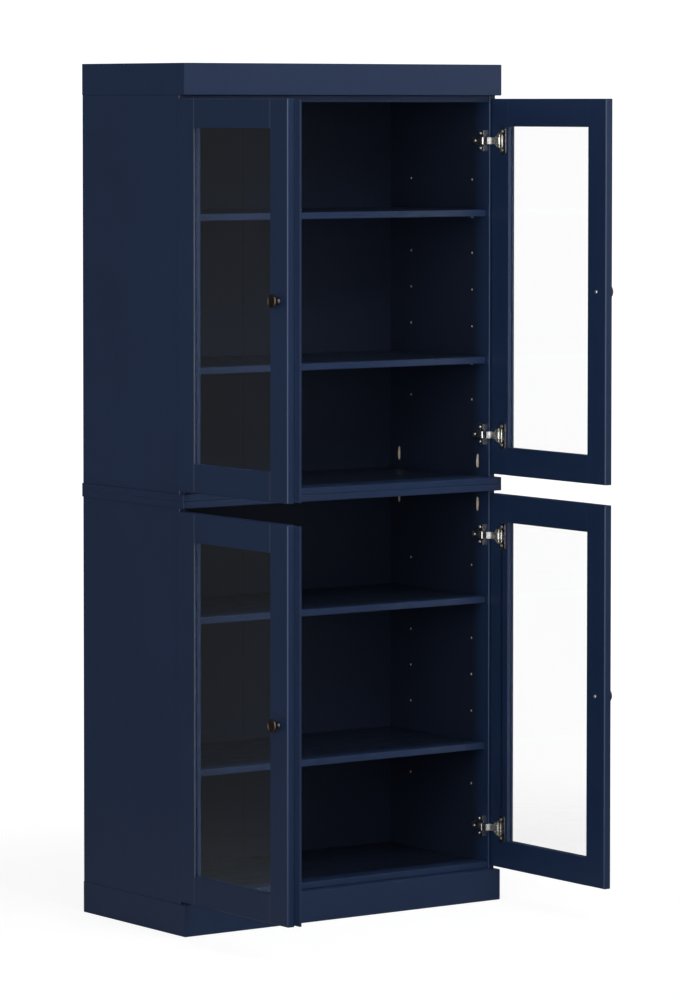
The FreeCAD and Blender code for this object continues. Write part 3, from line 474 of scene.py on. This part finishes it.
def placed(x, y, z, axis=(1, 0, 0), hand=1):
    """Moves a form drawn along X to a place and an axis; hand -1 is the left-hand twin."""
    spin = Vector((1, 0, 0)).rotation_difference(Vector(axis)).to_matrix()

    def turn(point):
        moved = spin @ point + Vector((x, y, z))
        return Vector((moved.x * hand, moved.y, moved.z))

    return turn


def on_circle(radius, angle):
    return radius * math.cos(angle), radius * math.sin(angle)


def lathe(form, profile, turn, sides):
    """A profile of (along X, radius) pairs, spun about X; a zero radius at an end closes it."""
    points, circles, faces = [], [], []
    for along, radius in profile:
        count = 1 if radius == 0 else sides
        circles.append(range(len(points), len(points) + count))
        points += [(along, *on_circle(radius, math.tau * i / sides)) for i in range(count)]
    for low, high in zip(circles, circles[1:]):
        for i in range(sides):
            after = (i + 1) % sides
            corners = [low[i % len(low)], low[after % len(low)], high[after % len(high)], high[i % len(high)]]
            face = list(dict.fromkeys(corners))
            if len(face) > 2:
                faces.append(face)
    form.add(points, faces, turn)


def slab(form, outline, low, high, turn, order):
    """An outline pulled from low to high; order puts (a, b, height) on the axes."""
    count = len(outline)
    points = [order(a, b, height) for height in (low, high) for a, b in outline]
    faces = [list(range(count))[::-1], list(range(count, 2 * count))]
    faces += [[i, (i + 1) % count, count + (i + 1) % count, count + i] for i in range(count)]
    form.add(points, faces, turn)


def lying(a, b, height):
    """For an outline drawn in x and y and pulled along z."""
    return a, b, height


def standing(a, b, height):
    """For an outline drawn in y and z and pulled along x."""
    return height, a, b


def rounded(corners, radius, steps=6):
    """An open path whose inner corners are bends of one radius."""
    path = [Vector(corners[0])]
    for before, corner, after in zip(corners, corners[1:], corners[2:]):
        corner = Vector(corner)
        back = (Vector(before) - corner).normalized()
        on = (Vector(after) - corner).normalized()
        half = back.angle(on) / 2
        reach = radius / math.tan(half)
        centre = corner + (back + on).normalized() * radius / math.sin(half)
        start = corner + back * reach - centre
        end = corner + on * reach - centre
        path += [centre + start.slerp(end, step / steps) for step in range(steps + 1)]
    path.append(Vector(corners[-1]))
    return path


def band(path, thickness):
    """The outline of a strip of one thickness along an open path."""
    near_side, far_side = [], []
    for number, point in enumerate(path):
        before = path[max(number - 1, 0)]
        after = path[min(number + 1, len(path) - 1)]
        step = (after - before).normalized()
        across = Vector((-step.y, step.x)) * thickness / 2
        near_side.append(tuple(point + across))
        far_side.append(tuple(point - across))
    return near_side + far_side[::-1]


# Screws, as (head radius, head height, shank radius, shank length)
FLANGE_SCREW = (3.6, 1.1, 1.5, 12)
KNOB_SCREW = (4.2, 2, 2, 29)
PLATE_SCREW = (3.4, 1.6, 2.4, 12)
ARM_SCREW = (3.4, 1.6, 2, 12.5)
POCKET_SCREW = (4, 1.8, 1.9, 30)
SCREW_SIDES = 28

# A head's outline as shares of its height and radius, from the crown down, and its cross recess
HEAD_SHARES = ((1.0, 0.70), (0.82, 0.88), (0.45, 1.0), (0.0, 1.0))
CROSS_ARM_SHARE = 0.52
CROSS_HALF_WIDTH_SHARE = 0.12
CROSS_DEPTH_SHARE = 0.65


def cross_outline(radius):
    """A cross with arms on the diagonals, as (y, z) about the screw's axis."""
    arm = CROSS_ARM_SHARE * radius
    half = CROSS_HALF_WIDTH_SHARE * radius
    corners = ((arm, -half), (arm, half), (half, half))
    cross = []
    for quarter in range(4):
        angle = (quarter + 0.5) * math.tau / 4
        cos, sin = math.cos(angle), math.sin(angle)
        cross += [(a * cos - b * sin, a * sin + b * cos) for a, b in corners]
    return cross


def screw(form, kind, turn):
    """A domed head below the origin with a cross recess, and a shank along X."""
    head_radius, head_height, shank_radius, shank_length = kind
    head = [(-rise * head_height, reach * head_radius) for rise, reach in HEAD_SHARES]
    top, crown = head[0]
    floor = top + head_height * CROSS_DEPTH_SHARE
    circle = [on_circle(crown, math.tau * i / SCREW_SIDES) for i in range(SCREW_SIDES)]
    cross = cross_outline(head_radius)
    count = len(cross)
    rim, bottom = SCREW_SIDES, SCREW_SIDES + count
    points = [(top, a, b) for a, b in circle + cross] + [(floor, a, b) for a, b in cross]
    loops = [[Vector((a, b, 0)) for a, b in outline] for outline in (circle, cross)]
    faces = [list(face) for face in tessellate_polygon(loops)]
    faces += [[rim + i, rim + (i + 1) % count, bottom + (i + 1) % count, bottom + i] for i in range(count)]
    faces.append([bottom + i for i in range(count)])
    form.add(points, faces, turn)
    shank = [(0, shank_radius), (shank_length, shank_radius), (shank_length, 0)]
    lathe(form, head + shank, turn, SCREW_SIDES)


def finished(form, name, finish, body, replaced, smooth_angle=40, bevel=None):
    """The form as a piece that rides on a body and takes the place of a CAD node."""
    mesh = bpy.data.meshes.new(name)
    mesh.from_pydata([point * MM for point in form.points], [], form.faces)
    work = bmesh.new()
    work.from_mesh(mesh)
    bmesh.ops.remove_doubles(work, verts=work.verts, dist=0.002 * MM)
    bmesh.ops.recalc_face_normals(work, faces=work.faces)
    work.to_mesh(mesh)
    work.free()
    piece = bpy.data.objects.new(name, mesh)
    bpy.context.scene.collection.objects.link(piece)
    for face in mesh.polygons:
        face.use_smooth = True
    mesh.set_sharp_from_angle(angle=math.radians(smooth_angle))
    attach(piece, body)
    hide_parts(replaced)
    dress(piece, finish)
    if bevel:
        ease_edges(piece, bevel, FITTING_SEGMENTS, "ANGLE", math.radians(smooth_angle))


# Knob and hinge cup, as (along X from the door's face, radius); smooth angles are in degrees
KNOB_SIDES, KNOB_SMOOTH = 56, 50
KNOB_PROFILE = (
    (0, 0), (0, 7.4), (0.4, 7.8), (1.5, 7.8), (2.2, 7.1), (3.6, 6.1), (6.5, 5.7), (9.0, 6.2), (11.0, 7.8),
    (12.4, 10.4), (13.4, 12.7), (14.4, 14.1), (15.4, 14.7), (16.4, 14.85), (17.3, 14.6), (18.1, 13.9),
    (18.6, 13.1), (18.7, 12.5), (18.5, 12.1), (17.9, 11.5), (17.4, 10.2), (17.0, 8.0), (16.8, 5.0),
    (16.75, 0),
)
CUP_SIDES, HINGE_SMOOTH, HINGE_BEVEL = 56, 35, 0.2
CUP_PROFILE = (
    (12, 0), (12, 16.6), (11.7, 17.2), (11.1, 17.5), (0, 17.5), (0, 18.3), (-0.5, 18.5), (-1.0, 18.3),
    (-1.25, 17.9), (-1.2, 17.2), (-0.7, 16.6), (0.2, 16.5), (10.4, 16.5), (11, 15.9), (11, 0),
)

# Hinge flange about the centre of the cup's mouth, near and far along Y
FLANGE_NEAR, FLANGE_FAR, FLANGE_REACH, FLANGE_CORNER = -3.5, -22.5, 30, 3.0
FLANGE_THICKNESS, FLANGE_MOUTH, MOUTH_STEPS = 1.5, 17.6, 24
FLANGE_SCREW_SEAT, FLANGE_SCREW_Y, FLANGE_SCREW_Z = 1.2, -9.5, 21

# Hinge link as (x, y) about the same centre, and its pins as (x, y, half length)
STRAP_PATH = ((-14.4, 28.7), (-5.0, 28.4), (-3.2, 16), (-0.4, 4.5))
STRAP_THICKNESS, STRAP_HALF_HEIGHT, STRAP_BEND = 1.4, 7.5, 2.0
KNUCKLE_RADIUS, KNUCKLE_SIDES = 2.2, 24
PIN_RADIUS, PIN_SIDES = 1.0, 16
PINS = ((1.8, 4.5, 14.6), (1.8, -5.5, 14.3))

CUP_Y = extent("lower_right_door_hinge_cups", "y")[0] - FLANGE_FAR
CUPS_LOW, CUPS_HIGH = extent("lower_right_door_hinge_cups", "z")
HINGE_RISES = [place - DOOR_BASES["lower"] for place in (CUPS_LOW + FLANGE_REACH, CUPS_HIGH - FLANGE_REACH)]


def flange_outline():
    """The flange with the cup's mouth cut from its near side, as (y, z) about the cup."""
    start = math.acos(FLANGE_NEAR / FLANGE_MOUTH)
    sweep = math.tau - 2 * start
    arc = [on_circle(FLANGE_MOUTH, start + sweep * i / MOUTH_STEPS) for i in range(MOUTH_STEPS + 1)]
    low, high, corner = -FLANGE_REACH, FLANGE_REACH, FLANGE_CORNER
    far = [(FLANGE_NEAR, low), (FLANGE_FAR + corner, low), (FLANGE_FAR, low + corner),
           (FLANGE_FAR, high - corner), (FLANGE_FAR + corner, high), (FLANGE_NEAR, high)]
    return arc + far


def rod(form, radius, half, turn, sides):
    lathe(form, ((-half, 0), (-half, radius), (half, radius), (half, 0)), turn, sides)


def hinge(cups, links, rise, hand):
    """The cup and flange in one form, the link and its pins in another; all ride with the door."""
    turn = placed(DOOR_INNER, CUP_Y, rise, hand=hand)
    lathe(cups, CUP_PROFILE, turn, CUP_SIDES)
    slab(cups, flange_outline(), -FLANGE_THICKNESS, 0, turn, standing)
    strap = band(rounded(STRAP_PATH, STRAP_BEND), STRAP_THICKNESS)
    slab(links, strap, -STRAP_HALF_HEIGHT, STRAP_HALF_HEIGHT, turn, lying)
    for x, y, half in PINS:
        on_end = placed(DOOR_INNER + x, CUP_Y + y, rise, (0, 0, 1), hand)
        rod(links, KNUCKLE_RADIUS, STRAP_HALF_HEIGHT, on_end, KNUCKLE_SIDES)
        rod(links, PIN_RADIUS, half, on_end, PIN_SIDES)


def door_fittings(door, base, hand):
    """The knob, hinges and screws of one door."""
    knob, cups, links, screws = Form(), Form(), Form(), Form()
    knob_z = base + KNOB_RISE
    lathe(knob, KNOB_PROFILE, placed(DOOR_OUTER, KNOB_Y, knob_z, hand=hand), KNOB_SIDES)
    for rise in HINGE_RISES:
        hinge(cups, links, base + rise, hand)
        for sense in (-1, 1):
            z = base + rise + FLANGE_SCREW_Z * sense
            seat = placed(DOOR_INNER - FLANGE_SCREW_SEAT, CUP_Y + FLANGE_SCREW_Y, z, hand=hand)
            screw(screws, FLANGE_SCREW, seat)
    screw(screws, KNOB_SCREW, placed(DOOR_INNER, KNOB_Y, knob_z, hand=hand))
    finished(knob, door + "_round_knob", "bronze", door, door + "_knob", KNOB_SMOOTH)
    finished(cups, door + "_round_hinges", "nickel", door, door + "_hinge_cups", HINGE_SMOOTH, HINGE_BEVEL)
    finished(links, door + "_round_links", "bright", door, door + "_hinge_cups", HINGE_SMOOTH, HINGE_BEVEL)
    finished(screws, door + "_round_screws", "zinc", door, door + "_screws")


# Screws of the cases, below the sides' inner faces, and in pockets slanted out of them at their ends
PLATE_SCREW_PROUD, PLATE_SCREW_Y, PLATE_SCREW_Z = 6, 34.5, 16.5
ARM_SCREW_PROUD, ARM_SCREW_Y = 14, 43.5
POCKET_SLANT = math.radians(15)
POCKET_MOUTH, POCKET_RUN = 32.65, 14.15


def cabinet_fittings():
    """The screws of the hinge plates and arms, and those in the pockets."""
    form = Form()
    for hand in (-1, 1):
        for z in (base + rise for base in DOOR_BASES.values() for rise in HINGE_RISES):
            x = SIDE_INNER - PLATE_SCREW_PROUD
            for sense in (-1, 1):
                screw(form, PLATE_SCREW, placed(x, PLATE_SCREW_Y, z + PLATE_SCREW_Z * sense, hand=hand))
            screw(form, ARM_SCREW, placed(SIDE_INNER - ARM_SCREW_PROUD, ARM_SCREW_Y, z, hand=hand))
        for y in POCKET_COLUMNS:
            x = SIDE_INNER + POCKET_RUN * math.sin(POCKET_SLANT)
            for end, sense in ((LOWER_SIDE_TOP, 1), (UPPER_SIDE_FOOT, -1)):
                z = end - (POCKET_MOUTH - POCKET_RUN * math.cos(POCKET_SLANT)) * sense
                axis = (math.sin(POCKET_SLANT), 0, math.cos(POCKET_SLANT) * sense)
                screw(form, POCKET_SCREW, placed(x, y, z, axis, hand))
    finished(form, "round_cabinet_screws", "zinc", "cabinet", "cabinet_screws")


for level, base in DOOR_BASES.items():
    for side, hand in (("left", -1), ("right", 1)):
        door_fittings(f"{level}_{side}_door", base, hand)
cabinet_fittings()

# Studio surroundings: white to the camera and through the glass, dim in what mirrors them
AMBIENT = 0.30
BACKDROP = 1.1
MIRRORED_BOX = (-0.70, -0.71, 0.08)
MIRRORED_EDGE = (0.50, 0.80)
MIRRORED_LEVELS = (0.08, 1.6)


def surround():
    """The world's light, with a soft bright patch at the front left for mirrored rays alone."""
    world = bpy.data.worlds.new("studio")
    bpy.context.scene.world = world
    world.use_nodes = True
    sky = world.node_tree
    background = sky.nodes["Background"]
    background.inputs["Color"].default_value = WHITE
    path = add(sky, "ShaderNodeLightPath").outputs
    seen = either(sky, path["Is Camera Ray"], path["Is Transmission Ray"])
    direct = remap(sky, either(sky, seen, path["Is Glossy Ray"]), target=(AMBIENT, BACKDROP))
    towards = add(sky, "ShaderNodeVectorMath", {1: MIRRORED_BOX}, operation="DOT_PRODUCT")
    sky.links.new(add(sky, "ShaderNodeTexCoord").outputs["Generated"], towards.inputs[0])
    mirrored = remap(sky, towards.outputs["Value"], MIRRORED_EDGE, MIRRORED_LEVELS, smooth=True)
    strength = add(sky, "ShaderNodeMapRange")
    sky.links.new(path["Glossy Depth"], strength.inputs["Value"])
    sky.links.new(direct, strength.inputs["To Min"])
    sky.links.new(mirrored, strength.inputs["To Max"])
    sky.links.new(strength.outputs["Result"], background.inputs["Strength"])


# Floor: pale, glowing where the camera sees it past the plinth, and fading out around the shadow
FLOOR_HALF = 30.0
FLOOR_DROP = 0.0005
FLOOR_TONES = ((0.29, 0.29, 0.29), (0.31, 0.31, 0.31))
FLOOR_ROUGHNESS = 0.9
FLOOR_SHEEN = 0.1
FLOOR_GLOW = 0.85
SHADOW_REACH = (0.9, 2.6)
PLINTH_MARGIN = 5


def plinth_mask(tree, place):
    """The floor under the plinth, a little within its edges."""
    x, y, z = axes(tree, place)
    left, right = extent("plinth_front", "x")
    front, back = extent("plinth_right", "y")
    width = between(tree, x, left + PLINTH_MARGIN, right - PLINTH_MARGIN)
    return both(tree, width, between(tree, y, front + PLINTH_MARGIN, back - PLINTH_MARGIN))


def floor_material():
    material, tree, shader, place = start_material("pale_floor")
    grain = noise(tree, place, scale=8.0, detail=3.0)
    tree.links.new(mottled(tree, grain, FLOOR_TONES), shader.inputs["Base Color"])
    shader.inputs["Roughness"].default_value = FLOOR_ROUGHNESS
    shader.inputs["Specular IOR Level"].default_value = FLOOR_SHEEN
    shader.inputs["Emission Color"].default_value = WHITE
    path = add(tree, "ShaderNodeLightPath").outputs
    seen = either(tree, path["Is Camera Ray"], path["Is Transmission Ray"])
    open_floor = add(tree, "ShaderNodeMath", {0: 1.0}, operation="SUBTRACT", use_clamp=True)
    tree.links.new(either(tree, plinth_mask(tree, place), path["Glossy Depth"]), open_floor.inputs[1])
    glow = remap(tree, both(tree, seen, open_floor.outputs["Value"]), target=(0, FLOOR_GLOW))
    tree.links.new(glow, shader.inputs["Emission Strength"])
    distance = add(tree, "ShaderNodeVectorMath", operation="LENGTH")
    tree.links.new(place, distance.inputs[0])
    fade = remap(tree, distance.outputs["Value"], SHADOW_REACH, smooth=True)
    clear = add(tree, "ShaderNodeBsdfTransparent")
    mix = add(tree, "ShaderNodeMixShader")
    tree.links.new(fade, mix.inputs["Fac"])
    tree.links.new(shader.outputs["BSDF"], mix.inputs[1])
    tree.links.new(clear.outputs["BSDF"], mix.inputs[2])
    tree.links.new(mix.outputs["Shader"], tree.nodes["Material Output"].inputs["Surface"])
    return material


def make_floor():
    mesh = bpy.data.meshes.new("floor")
    half = FLOOR_HALF
    corners = [(-half, -half, 0), (half, -half, 0), (half, half, 0), (-half, half, 0)]
    mesh.from_pydata(corners, [], [(0, 1, 2, 3)])
    floor = bpy.data.objects.new("floor", mesh)
    bpy.context.scene.collection.objects.link(floor)
    floor.location.z = -FLOOR_DROP
    mesh.materials.append(floor_material())


# Soft square lamps, as (name, place, power)
LAMP_SIZE = 2.5
LAMP_AIM = Vector((0.0, 0.2, 0.95))
LAMPS = (
    ("front_high", (0.0, -4.0, 4.6), 100),
    ("left_front", (-5.0, -3.0, 2.5), 46),
    ("right_front", (5.0, -4.0, 2.5), 22),
    ("left_low", (-6.0, -6.0, 1.5), 61),
)


def lamp(name, place, power):
    data = bpy.data.lights.new(name, "AREA")
    data.shape = "SQUARE"
    data.size = LAMP_SIZE
    data.energy = power
    thing = bpy.data.objects.new(name, data)
    bpy.context.scene.collection.objects.link(thing)
    thing.location = place
    thing.rotation_euler = (LAMP_AIM - Vector(place)).to_track_quat("-Z", "Y").to_euler()


# Camera, as fitted to the photograph
CAMERA_PLACE = Vector((-6.1420, -8.5543, 1.7935))
YAW = math.radians(35.64208)
PITCH = math.radians(2.69997)
ROLL = math.radians(0.02464)
FOCAL_PIXELS = 4806.58
IMAGE_HEIGHT_PIXELS = 1000
SHIFT_PIXELS = 170
SENSOR = 36.0
CLIP_END = 200


def make_camera():
    forward = Vector((math.sin(YAW) * math.cos(PITCH), math.cos(YAW) * math.cos(PITCH), -math.sin(PITCH)))
    level_right = Vector((math.cos(YAW), -math.sin(YAW), 0))
    level_up = level_right.cross(forward)
    right = level_right * math.cos(ROLL) + level_up * math.sin(ROLL)
    up = level_up * math.cos(ROLL) - level_right * math.sin(ROLL)
    data = bpy.data.cameras.new("camera")
    data.sensor_width = SENSOR
    data.lens = FOCAL_PIXELS / IMAGE_HEIGHT_PIXELS * SENSOR
    data.shift_y = -SHIFT_PIXELS / IMAGE_HEIGHT_PIXELS
    data.clip_end = CLIP_END
    camera = bpy.data.objects.new("camera", data)
    bpy.context.scene.collection.objects.link(camera)
    aim = Matrix((right, up, -forward)).transposed().to_4x4()
    camera.matrix_world = Matrix.Translation(CAMERA_PLACE) @ aim
    bpy.context.scene.camera = camera


surround()
make_floor()
for name, place, power in LAMPS:
    lamp(name, place, power)
make_camera()
bpy.context.scene.view_settings.view_transform = "Standard"
